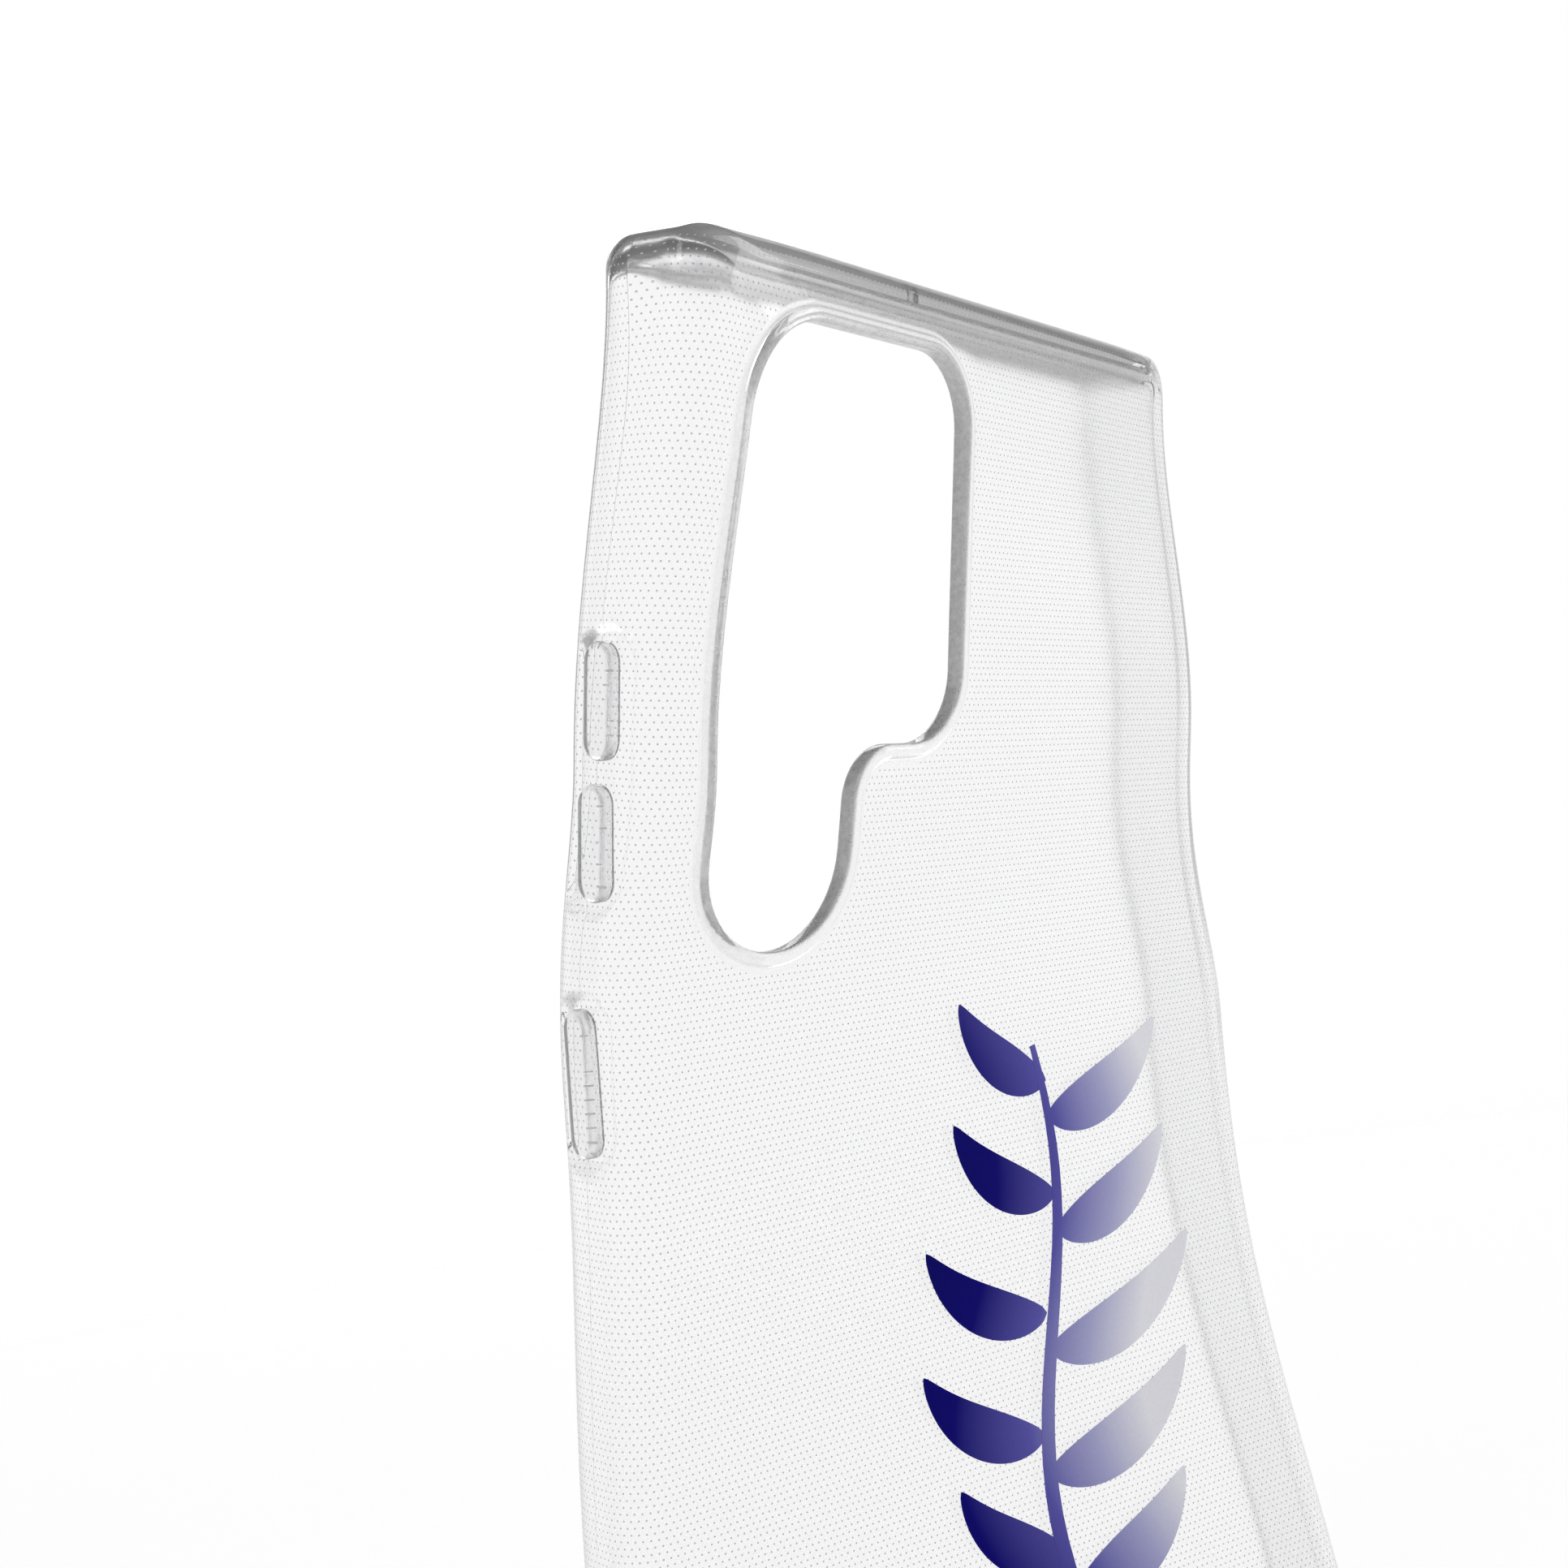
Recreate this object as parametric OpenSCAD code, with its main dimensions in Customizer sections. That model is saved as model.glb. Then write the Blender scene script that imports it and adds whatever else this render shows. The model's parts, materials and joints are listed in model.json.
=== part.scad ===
// Clear flexible phone case, held slightly flexed, as a chain of four shell zones.
// The case is designed straight: X across its width, Y from the outer back face to the screen lip,
// Z up its height. Each zone is then turned about the flex lines below it.

/* [Case] */
// Width over the long side walls
case_w = 81.4; // [79:0.2:86]
// Height from the bottom edge to the top edge
case_h = 166.4; // [164:0.2:172]
// Depth from the outer back face to the front of the screen lip
case_t = 11; // [10:0.1:13]
// Thickness of the side, top and bottom walls
wall = 1.6; // [1.4:0.1:2.2]
// Thickness of the back panel
back = 1.3; // [1:0.1:1.8]
// Radius of the case's corners seen from the back
corner_r = 3.4; // [2.8:0.1:5]
// Radius of the long edges beside the back panel
edge_back_r = 3.6; // [2.5:0.1:4]
// Radius of the long edges at the screen lip
edge_front_r = 1.5; // [1:0.1:2]

/* [Screen lip] */
// Thickness of the lip in front of the screen
lip_t = 0.9; // [0.6:0.1:1.4]
// How far the lip reaches over the screen
lip_reach = 1.1; // [0.6:0.1:1.6]

/* [Camera opening] */
// Left side of the opening from the case's centre line
cut_left = -33.4; // [-33.8:0.1:-31]
// Right side of the wide upper part
cut_right = -2.7; // [-6:0.1:0]
// Right side of the narrow lower part
cut_step_x = -16.9; // [-19:0.1:-15]
// Height of the opening's top edge
cut_top = 160.4; // [158:0.2:160.4]
// Height of the step under the wide part
cut_step_z = 125.6; // [122:0.2:130]
// Height of the opening's lowest point
cut_bottom = 108.2; // [108.2:0.2:114]
// Corner radius of the wide part
cut_r = 7.6; // [6:0.2:8]
// Width of the rim round the opening
rim_w = 0.9; // [0.6:0.1:1.2]
// How far the rim stands out from the back
rim_out = 0.9; // [0.5:0.1:1.4]

/* [Buttons] */
// Height of the power cover's centre
power_z = 98.8; // [97:0.2:99]
// Length of the power cover
power_len = 12.3; // [10:0.1:13]
// Height of the volume down cover's centre
vol_down_z = 118; // [117:0.2:119]
// Height of the volume up cover's centre
vol_up_z = 129.4; // [128.6:0.2:131]
// Length of each volume cover
vol_len = 9.6; // [8:0.1:10]
// Width of every button cover
cover_w = 3.4; // [3:0.1:4]
// How far a button cover stands out from the wall
cover_out = 0.7; // [0.4:0.1:1]
// Depth of the button row from the outer back face
key_y = 5.7; // [5.4:0.1:6]

/* [Flex] */
// Height of the flex line between the lower and middle zones
flex_1_z = 62; // [50:1:70]
// Height of the flex line between the middle and shoulder zones
flex_2_z = 106.8; // [106.7:0.1:106.8]
// Height of the flex line between the shoulder and crown zones
flex_3_z = 142; // [140:1:146]
// Backward bend at the three flex lines, in degrees
bend_deg = [7.5, 7.5, 0]; // [0:0.5:10]
// Twist at the three flex lines, in degrees
twist_deg = [10.5, 5, 7]; // [0:0.5:12]

/* [Hidden] */
$fn = 64;

// Moves the flexed case so that its footprint is centred on the origin
stand_shift = [0.53, 8.69, 0];
// Slit left between two neighbouring zones
flex_gap = 0.8;
// Width of the side strips that belong to the walls, not to the back panel
band = 6;
// Height of the strips that belong to the top and bottom walls
end_band = 5;
// Inner radius between the back panel and the side walls
pocket_r = 2.2;
// Inner radius of the pocket's corners seen from the back
pocket_corner_r = 1.9;
// Radius of the top and bottom edges beside the back panel
end_back_r = 2.2;
// Radius of the top and bottom edges at the screen lip
end_front_r = 1.2;
// Radius of the opening's soft inner corner under the step
step_r = 5;
// Overlap that makes a cut pass cleanly through a face
over = 1;

// Running clearance round a moving cover
key_gap = 0.35;
// Thickness of the thin web round the covers
web_t = 0.6;
// How far the recess reaches beyond the ends and the sides of a cover
recess_end = 1.2;
recess_side = 1.6;
// Depth of a cover inside the wall
cover_in = 0.8;
// Thickness, share of the cover's length and width of the pad that meets the phone's key
pad_t = 0.4;
pad_share = 0.7;
pad_w = 2.2;
// Makes a round end slightly smaller than half the width, so that its flat side stays a face
round_end = 0.01;

// Bottom openings: USB port, speaker slot, stylus opening and microphone hole
usb_w = 12.6;
usb_h = 6.4;
speaker_x = 15.6;
speaker_w = 11.5;
speaker_h = 2.6;
stylus_x = 29.6;
stylus_w = 8.6;
stylus_h = 5.6;
mic_r = 0.8;
bottom_mic_x = -10.5;
top_mic_x = -8;
port_y = 5.7;

// Printed ornament: rows of leaf strokes
ink_t = 0.12;
ink_x = 9;
leaf_len = 38;
leaf_w = 5;
leaf_step = 12;
leaf_tilt = 16;
ink_first_z = 20;
ink_rows_lower = 3;
ink_first_middle_z = 76;
ink_rows_middle = 2;

zone_bottom = [0, flex_1_z + flex_gap / 2, flex_2_z + flex_gap / 2, flex_3_z + flex_gap / 2];
zone_top = [flex_1_z - flex_gap / 2, flex_2_z - flex_gap / 2, flex_3_z - flex_gap / 2, case_h];
flex_z = [flex_1_z, flex_2_z, flex_3_z];
inner_w = case_w - 2 * wall;
inner_h = case_h - 2 * wall;
mouth_w = inner_w - 2 * lip_reach;
mouth_h = inner_h - 2 * lip_reach;
recess_w = cover_w + 2 * recess_side;

// ---- Placing a zone ----

// Turns what it holds about flex line k, counted from 0 at the bottom
module flex_turn(k) {
    turn = [bend_deg[k], 0, twist_deg[k]];
    translate([0, 0, flex_z[k]])
        rotate(a = norm(turn), v = turn)
            translate([0, 0, -flex_z[k]])
                children();
}

// Puts zone k where it is while the case is flexed
module zone(k) {
    translate(stand_shift) {
        if (k == 0) children();
        if (k == 1) flex_turn(0) children();
        if (k == 2) flex_turn(0) flex_turn(1) children();
        if (k == 3) flex_turn(0) flex_turn(1) flex_turn(2) children();
    }
}

// ---- Outlines ----

// Section with radius rb at its two corners at y = 0 and rf at its two corners at y = t
module soft_section(w, t, rb, rf) {
    translate([-w / 2 + rb, 0]) square([w - 2 * rb, rb]);
    translate([-w / 2, rb]) square([w, t - rb - rf]);
    translate([-w / 2 + rf, t - rf]) square([w - 2 * rf, rf]);
    for (side = [-1, 1]) {
        translate([side * (w / 2 - rb), rb]) circle(r = rb);
        translate([side * (w / 2 - rf), t - rf]) circle(r = rf);
    }
}

// Rounded rectangle from x0, z0 to x1, z1
module soft_rectangle(x0, z0, x1, z1, r) {
    translate([x0 + r, z0]) square([x1 - x0 - 2 * r, z1 - z0]);
    translate([x0, z0 + r]) square([x1 - x0, z1 - z0 - 2 * r]);
    for (x = [x0 + r, x1 - r], z = [z0 + r, z1 - r]) translate([x, z]) circle(r = r);
}

// Stands an outline drawn as X, Z upright and gives it depth from y0 to y1
module upright(y0, y1) {
    translate([0, y1, 0]) rotate([90, 0, 0]) linear_extrude(height = y1 - y0) children();
}

// Section of the long side walls
module wall_section() {
    difference() {
        soft_section(case_w, case_t, edge_back_r, edge_front_r);
        translate([0, back]) soft_section(inner_w, case_t - lip_t - back, pocket_r, pocket_r / 4);
        translate([-mouth_w / 2, case_t / 2]) square([mouth_w, case_t]);
    }
}

// Section of the top and bottom walls, drawn as outward distance and depth
module end_section() {
    difference() {
        translate([case_h / 2, 0]) soft_section(case_h, case_t, end_back_r, end_front_r);
        translate([wall + inner_h / 2, back])
            soft_section(inner_h, case_t - lip_t - back, pocket_r / 2, pocket_r / 4);
        translate([wall + lip_reach, case_t / 2]) square([mouth_h, case_t]);
    }
}

// Camera opening with every edge moved out by grow
module camera_outline(grow) {
    low_r = (cut_step_x - cut_left) / 2;
    fillet = step_r - grow;
    soft_rectangle(cut_left - grow, cut_step_z - grow, cut_right + grow, cut_top + grow, cut_r + grow);
    translate([cut_left - grow, cut_bottom + low_r])
        square([2 * (low_r + grow), cut_step_z - cut_bottom]);
    translate([cut_left + low_r, cut_bottom + low_r]) circle(r = low_r + grow);
    difference() {
        translate([cut_step_x + grow - over, cut_step_z - grow - fillet])
            square([fillet + over, fillet + over]);
        translate([cut_step_x + grow + fillet, cut_step_z - grow - fillet]) circle(r = fillet);
    }
}

// ---- Back panel ----

module panel_slab(z0, z1) {
    half = case_w / 2 - band;
    translate([-half, 0, z0]) cube([2 * half, back, z1 - z0]);
}

module panel_with_opening(k, z1) {
    difference() {
        panel_slab(zone_bottom[k], z1);
        upright(-over, back + over) camera_outline(rim_w);
    }
}

module camera_rim(k) {
    intersection() {
        upright(-rim_out, back) difference() {
            camera_outline(rim_w);
            camera_outline(0);
        }
        translate([-case_w / 2, -case_t, zone_bottom[k]])
            cube([case_w, 2 * case_t, zone_top[k] - zone_bottom[k]]);
    }
}

// ---- Walls ----

// Side wall from z0 to z1; side is -1 at the button wall and 1 at the plain wall
module side_wall(side, z0, z1) {
    strip = side < 0 ? -case_w / 2 - over : case_w / 2 - band;
    translate([0, 0, z0]) linear_extrude(height = z1 - z0) intersection() {
        wall_section();
        translate([strip, -over]) square([band + over, case_t + 2 * over]);
    }
}

// Recess with round ends, cut through the button wall
module recess_cut(zc, len, w) {
    depth = wall + 2 * over;
    translate([-case_w / 2 - over, key_y, zc]) rotate([0, 90, 0]) linear_extrude(height = depth)
        soft_rectangle(-len / 2, -w / 2, len / 2, w / 2, w / 2 - round_end);
}

module button_wall(z0, z1, zc, len) {
    difference() {
        side_wall(-1, z0, z1);
        recess_cut(zc, len, recess_w);
    }
}

// Long top or bottom wall between the corners; top is 1 at the top edge
module end_wall(top) {
    half = case_w / 2 - band;
    translate([-half, 0, 0]) rotate([90, 0, 90]) linear_extrude(height = 2 * half) end_profile(top);
}

// End section turned so that X is depth and Y is height, cut to its own band
module end_profile(top) {
    intersection() {
        mirror([1, -1]) end_section();
        translate([-over, top > 0 ? case_h - end_band : -over]) square([case_t + 2 * over, end_band + over]);
    }
}

// Whole shell, used only for the four corners, where three rounded outlines meet
module corner(side, top) {
    intersection() {
        difference() {
            intersection() {
                linear_extrude(height = case_h) soft_section(case_w, case_t, edge_back_r, edge_front_r);
                upright(0, case_t) soft_rectangle(-case_w / 2, 0, case_w / 2, case_h, corner_r);
            }
            upright(back, case_t - lip_t)
                soft_rectangle(-inner_w / 2, wall, inner_w / 2, case_h - wall, pocket_corner_r);
            upright(case_t / 2, case_t + over)
                soft_rectangle(-mouth_w / 2, wall + lip_reach, mouth_w / 2, case_h - wall - lip_reach, 1);
        }
        translate([side < 0 ? -case_w / 2 : case_w / 2 - band, -over, top > 0 ? case_h - end_band : 0])
            cube([band, case_t + 2 * over, end_band]);
    }
}

// ---- Button covers ----

// Thin web that closes a recess round the covers listed as [centre, length]
module recess_web(zc, len, covers) {
    difference() {
        translate([-case_w / 2 + (wall - web_t) / 2, key_y, zc]) rotate([0, 90, 0])
            linear_extrude(height = web_t)
                soft_rectangle(-len / 2, -recess_w / 2, len / 2, recess_w / 2, recess_w / 2 - round_end);
        for (c = covers) recess_cut(c[0], c[1] + 2 * key_gap, cover_w + 2 * key_gap);
    }
}

// Raised cover with round ends
module cover(zc, len) {
    depth = cover_in + cover_out;
    translate([-case_w / 2 - cover_out, key_y, zc]) rotate([0, 90, 0]) linear_extrude(height = depth)
        soft_rectangle(-len / 2, -cover_w / 2, len / 2, cover_w / 2, cover_w / 2 - round_end);
}

// Pad behind the cover that meets the phone's own key
module press_pad(zc, len) {
    translate([-case_w / 2 + cover_in, key_y - pad_w / 2, zc - len * pad_share / 2])
        cube([pad_t, pad_w, len * pad_share]);
}

// ---- Print ----

// Pointed leaf stroke: the overlap of two circles, len long and w wide
module leaf(len, w) {
    r = (len * len / 4 + w * w / 4) / w;
    intersection() {
        translate([0, r - w / 2]) circle(r = r, $fn = 360);
        translate([0, w / 2 - r]) circle(r = r, $fn = 360);
    }
}

module leaf_rows(first_z, count) {
    for (i = [0 : count - 1]) translate([ink_x, 0, first_z + i * leaf_step])
        upright(-ink_t, 0) rotate(leaf_tilt) leaf(leaf_len, leaf_w);
}

// ---- Named pieces ----

power_recess = power_len + 2 * recess_end;
volume_z = (vol_down_z + vol_up_z) / 2;
volume_recess = vol_up_z - vol_down_z + vol_len + 2 * recess_end;
low_end = end_band;
high_end = case_h - end_band;

module back_panel_lower() color([0.90, 0.93, 0.95, 0.5]) zone(0) panel_slab(low_end, zone_top[0]);
module left_wall_lower() color([0.82, 0.86, 0.90, 0.6]) zone(0) side_wall(-1, low_end, zone_top[0]);
module right_wall_lower() color([0.82, 0.86, 0.90, 0.6]) zone(0) side_wall(1, low_end, zone_top[0]);
module bottom_wall() color([0.78, 0.83, 0.88, 0.6]) zone(0) difference() {
    end_wall(-1);
    port_cut(0, usb_w, usb_h);
    port_cut(speaker_x, speaker_w, speaker_h);
    port_cut(stylus_x, stylus_w, stylus_h);
    translate([bottom_mic_x, port_y, -over]) cylinder(r = mic_r, h = wall + 2 * over);
}
module corner_bottom_left() color([0.74, 0.80, 0.86, 0.6]) zone(0) corner(-1, -1);
module corner_bottom_right() color([0.74, 0.80, 0.86, 0.6]) zone(0) corner(1, -1);
module ink_print_lower() color([0.32, 0.30, 0.62]) zone(0) leaf_rows(ink_first_z, ink_rows_lower);

module back_panel_middle() color([0.90, 0.93, 0.95, 0.5]) zone(1) panel_slab(zone_bottom[1], zone_top[1]);
module left_wall_middle() color([0.82, 0.86, 0.90, 0.6]) zone(1)
    button_wall(zone_bottom[1], zone_top[1], power_z, power_recess);
module right_wall_middle() color([0.82, 0.86, 0.90, 0.6]) zone(1) side_wall(1, zone_bottom[1], zone_top[1]);
module power_recess_web() color([0.70, 0.76, 0.84, 0.6]) zone(1)
    recess_web(power_z, power_recess, [[power_z, power_len]]);
module ink_print_middle() color([0.05, 0.03, 0.36]) zone(1) leaf_rows(ink_first_middle_z, ink_rows_middle);

module back_panel_shoulder() color([0.90, 0.93, 0.95, 0.5]) zone(2) panel_with_opening(2, zone_top[2]);
module left_wall_shoulder() color([0.82, 0.86, 0.90, 0.6]) zone(2)
    button_wall(zone_bottom[2], zone_top[2], volume_z, volume_recess);
module right_wall_shoulder() color([0.82, 0.86, 0.90, 0.6]) zone(2) side_wall(1, zone_bottom[2], zone_top[2]);
module volume_recess_web() color([0.70, 0.76, 0.84, 0.6]) zone(2)
    recess_web(volume_z, volume_recess, [[vol_down_z, vol_len], [vol_up_z, vol_len]]);
module camera_rim_shoulder() color([0.66, 0.72, 0.80, 0.7]) zone(2) camera_rim(2);

module back_panel_crown() color([0.90, 0.93, 0.95, 0.5]) zone(3) panel_with_opening(3, high_end);
module left_wall_crown() color([0.82, 0.86, 0.90, 0.6]) zone(3) side_wall(-1, zone_bottom[3], high_end);
module right_wall_crown() color([0.82, 0.86, 0.90, 0.6]) zone(3) side_wall(1, zone_bottom[3], high_end);
module top_wall() color([0.78, 0.83, 0.88, 0.6]) zone(3) difference() {
    end_wall(1);
    translate([top_mic_x, port_y, case_h - wall - over]) cylinder(r = mic_r, h = wall + 2 * over);
}
module corner_top_left() color([0.74, 0.80, 0.86, 0.6]) zone(3) corner(-1, 1);
module corner_top_right() color([0.74, 0.80, 0.86, 0.6]) zone(3) corner(1, 1);
module camera_rim_crown() color([0.66, 0.72, 0.80, 0.7]) zone(3) camera_rim(3);

module power_cover() color([0.86, 0.90, 0.96, 0.7]) zone(1) cover(power_z, power_len);
module power_press_pad() color([0.60, 0.66, 0.74, 0.7]) zone(1) press_pad(power_z, power_len);
module volume_up_cover() color([0.86, 0.90, 0.96, 0.7]) zone(2) cover(vol_up_z, vol_len);
module volume_up_press_pad() color([0.60, 0.66, 0.74, 0.7]) zone(2) press_pad(vol_up_z, vol_len);
module volume_down_cover() color([0.86, 0.90, 0.96, 0.7]) zone(2) cover(vol_down_z, vol_len);
module volume_down_press_pad() color([0.60, 0.66, 0.74, 0.7]) zone(2) press_pad(vol_down_z, vol_len);

// Opening with round ends through the bottom wall
module port_cut(x, w, h) {
    translate([x, port_y, -over]) linear_extrude(height = wall + 2 * over)
        soft_rectangle(-w / 2, -h / 2, w / 2, h / 2, h / 2 - round_end);
}

back_panel_lower();
left_wall_lower();
right_wall_lower();
bottom_wall();
corner_bottom_left();
corner_bottom_right();
ink_print_lower();
back_panel_middle();
left_wall_middle();
right_wall_middle();
power_recess_web();
ink_print_middle();
back_panel_shoulder();
left_wall_shoulder();
right_wall_shoulder();
volume_recess_web();
camera_rim_shoulder();
back_panel_crown();
left_wall_crown();
right_wall_crown();
top_wall();
corner_top_left();
corner_top_right();
camera_rim_crown();
power_cover();
power_press_pad();
volume_up_cover();
volume_up_press_pad();
volume_down_cover();
volume_down_press_pad();
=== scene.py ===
"""Clear flexible phone case, flexed as in the photograph: one moulded shell with a raised camera opening,
soft button covers and a printed leaf ornament. Lengths below are in millimetres, in the straight case's own
coordinates (x across, y from the outer back to the lip, s or z up the case), until flexed() or set_in_flex() puts
them in the frame."""
import json
import math

import bmesh
import bpy
import numpy as np
from mathutils import Matrix, Vector
from mathutils.geometry import delaunay_2d_cdt


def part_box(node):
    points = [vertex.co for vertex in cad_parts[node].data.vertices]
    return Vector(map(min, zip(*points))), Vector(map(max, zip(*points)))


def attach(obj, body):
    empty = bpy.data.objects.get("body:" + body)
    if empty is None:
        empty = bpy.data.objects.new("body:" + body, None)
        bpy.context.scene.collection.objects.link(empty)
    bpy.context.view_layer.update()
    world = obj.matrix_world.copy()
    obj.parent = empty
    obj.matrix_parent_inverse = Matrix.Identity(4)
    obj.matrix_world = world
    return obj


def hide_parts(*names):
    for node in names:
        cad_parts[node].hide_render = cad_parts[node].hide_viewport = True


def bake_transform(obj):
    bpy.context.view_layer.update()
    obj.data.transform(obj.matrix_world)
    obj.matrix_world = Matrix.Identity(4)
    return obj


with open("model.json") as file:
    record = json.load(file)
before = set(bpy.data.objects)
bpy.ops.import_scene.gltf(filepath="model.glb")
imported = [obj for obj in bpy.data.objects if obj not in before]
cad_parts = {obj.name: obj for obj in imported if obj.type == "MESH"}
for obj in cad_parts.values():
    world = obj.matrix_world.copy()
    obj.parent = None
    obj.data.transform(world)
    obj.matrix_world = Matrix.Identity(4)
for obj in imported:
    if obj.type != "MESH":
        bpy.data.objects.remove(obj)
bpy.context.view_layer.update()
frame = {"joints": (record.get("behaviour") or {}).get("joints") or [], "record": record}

MM = 0.001

# ---- The case's own sizes ----
CASE_W, CASE_H, CASE_T = 81.4, 166.4, 11.0
WALL, BACK = 1.6, 1.3
LIP_T, LIP_REACH = 0.9, 1.1
# Corners of the outline: at the walls, at the back, under the lip, and in the pocket
CORNER_R, BACK_CORNER_R, LIP_CORNER_R, POCKET_CORNER_R = 3.4, 4.6, 2.3, 2.2
# Round edges of the section, at the side walls and at the end walls
EDGE_SIDE_R, EDGE_END_R = 4.2, 2.0
# The lip's outer side: how far it leans in and how high the lean is, at the side walls, and its radius at the ends
LIP_SIDE_INSET, LIP_SIDE_RISE, LIP_END_R = 2.3, 4.6, 0.9
# The lip's underside: how much of the way to the ledge it is hollowed, and how deep the hollow is at the end walls
HOLLOW_SHARE, HOLLOW_END = 0.98, 0.5
# Round edges of the pocket's floor, at the side walls and at the end walls
POCKET_R, POCKET_END_R = 3.6, 2.4
# The small ledge in the pocket's wall: its height at the side walls, its width and its thickness, and how far
# under the lip its two edges are at the end walls
STEP_Y, STEP_IN, STEP_T = 7.3, 0.15, 0.12
STEP_END_DROPS = (0.6, 0.75)
# The camera opening, with the radii of its corners: top left, top right, bottom, step, and the one inside the step
CUT_LEFT, CUT_RIGHT, CUT_STEP_X = -33.4, -2.7, -16.9
CUT_TOP, CUT_STEP_Z, CUT_BOTTOM = 160.4, 125.6, 108.2
CUT_RADII = (8.4, 6.4, 8.25, 6.6, 5.0)
# The ports: name, x, level of the cutter's foot, width and height
PORTS = (("usb", 0, -3, 12.6, 6.4), ("speaker", 15.6, -3, 11.5, 2.6), ("stylus", 29.6, -3, 8.6, 5.6),
         ("bottom_mic", -10.5, -3, 1.62, 1.6), ("top_mic", -8, CASE_H - 3, 1.62, 1.6))
PORT_DEPTH = 6
# The button covers: y of their middle line, then level and length of each, their width, and how far they stand out
KEY_Y = 5.7
POWER = (98.8, 12.3)
VOLUME_UP = (129.4, 9.6)
VOLUME_DOWN = (118.0, 9.6)
COVER_W, COVER_OUT = 3.4, 0.7
# The dents round the covers: how much longer and wider than the covers, the width of their slope, their depths from
# outside and from inside, and how far they reach into the outer side and stay below the lip
RECESS_LONGER, RECESS_WIDER, RECESS_SLOPE = 2.4, 3.2, 0.65
RECESS_OUT, RECESS_IN = 0.5, 0.12
RECESS_REACH, RECESS_BELOW_LIP = 1.2, 1.6
# The printed ink: its thickness, and the y of its inner side on the stem and on the leaves
INK_T, STEM_Y, LEAF_Y = 0.05, -0.05, -0.03

# Levels where the shell is cut into pieces, and where each flex starts and ends
CUTS = (95.0, 125.0)
FLEX_ZONES = ((26.0, 94.0), (96.0, 124.0), (126.0, 163.5))
FLEX_ROUNDS = 40

# ---- The mesh's own sizes ----
# Levels up a side wall where the mesh has a line, finer round the buttons, and shares across an end wall
SIDE_RUN = np.concatenate([np.arange(4, 88, 2.0), np.arange(88, 140, 0.5), np.arange(140, 164, 2.0)])
ACROSS_RUN = np.linspace(1, -1, 41)[1:-1]
# Only the levels outside these two move, to leave room for the corners and a margin
KEPT_LEVELS = (60.0, 140.0)
SIDE_MARGIN = 0.3
# How far along the outline, each way from the middle of a corner, the walls' sections change into each other
CORNER_BLEND = 13.0
CORNER_STEPS = 16
# Points inside a flat panel: their distance, and how far inside its edges they start and end
PANEL_STEP, PANEL_START, PANEL_END = 2.0, 1.2, 1.0
WELD = 0.002
# Edges sharper than this, in degrees, stay crisp: on the shell, and on the covers and the print
SHELL_CREASE, SMALL_CREASE = 38, 40

JOINTS = {j["name"]: j for j in frame["joints"]}
FLEX = [JOINTS[n] for n in ("flex_lower", "flex_middle", "flex_top")]
LOW = np.array(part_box("bottom_wall")[0]) / MM
# The straight case's origin, found from the bottom wall, which the flex doesn't move
ORIGIN = np.array([(LOW[0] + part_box("bottom_wall")[1][0] / MM) / 2, LOW[1], LOW[2]])


# ---- Flexing ----
def eased(share):
    return share * share * (3 - 2 * share)


def turn(points, centre, axis, angles):
    """Points turned about an axis through centre, each by its own angle in radians."""
    p = points - centre
    c, s = np.cos(angles)[:, None], np.sin(angles)[:, None]
    along = (p @ axis)[:, None] * axis
    return centre + p * c + np.cross(axis, p) * s + along * (1 - c)


def flex_data(i):
    """Centre, axis and angle (radians) that take the straight case to its flexed rest at joint i."""
    centre = np.array(FLEX[i]["pos_m"]) / MM
    axis = np.array(FLEX[i]["axis"], float)
    return centre, axis / np.linalg.norm(axis), -math.radians(FLEX[i]["range_deg"][1])


def carried(points, upto):
    """Points of the straight case, moved as body number upto is moved at rest."""
    for i in range(upto):
        centre, axis, angle = flex_data(i)
        points = turn(points, centre, axis, np.full(len(points), angle))
    return points


def zone_ends(i):
    """Start and end of flex zone i, in the frame at rest, in millimetres."""
    start = carried(np.array([[0, BACK, FLEX_ZONES[i][0]]]) + ORIGIN, i)[0]
    end = carried(np.array([[0, BACK, FLEX_ZONES[i][1]]]) + ORIGIN, i + 1)[0]
    return start, end


def flexed(points, i):
    start, end = zone_ends(i)
    way = end - start
    centre, axis, angle = flex_data(i)
    base = carried(points + ORIGIN, i)
    share = np.clip((points[:, 2] - FLEX_ZONES[i][0]) / (FLEX_ZONES[i][1] - FLEX_ZONES[i][0]), 0, 1)
    for _ in range(FLEX_ROUNDS):
        share = eased(share)
        bent = turn(base, centre, axis, share * angle)
        share = np.clip((bent - start) @ way / (way @ way), 0, 1)
    return bent


def set_in_flex(points, i, level):
    """Straight points placed as one rigid piece, turned as the shell is at that level in flex zone i."""
    start, end = zone_ends(i)
    way = end - start
    centre, axis, angle = flex_data(i)
    share = np.ones(1)
    middle = carried(np.array([[-CASE_W / 2, KEY_Y, level]]) + ORIGIN, i)
    for _ in range(FLEX_ROUNDS):
        bent = turn(middle, centre, axis, share * angle)
        share = eased(np.clip((bent - start) @ way / (way @ way), 0, 1))
    return turn(carried(points + ORIGIN, i), centre, axis, np.full(len(points), share[0] * angle))


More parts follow.
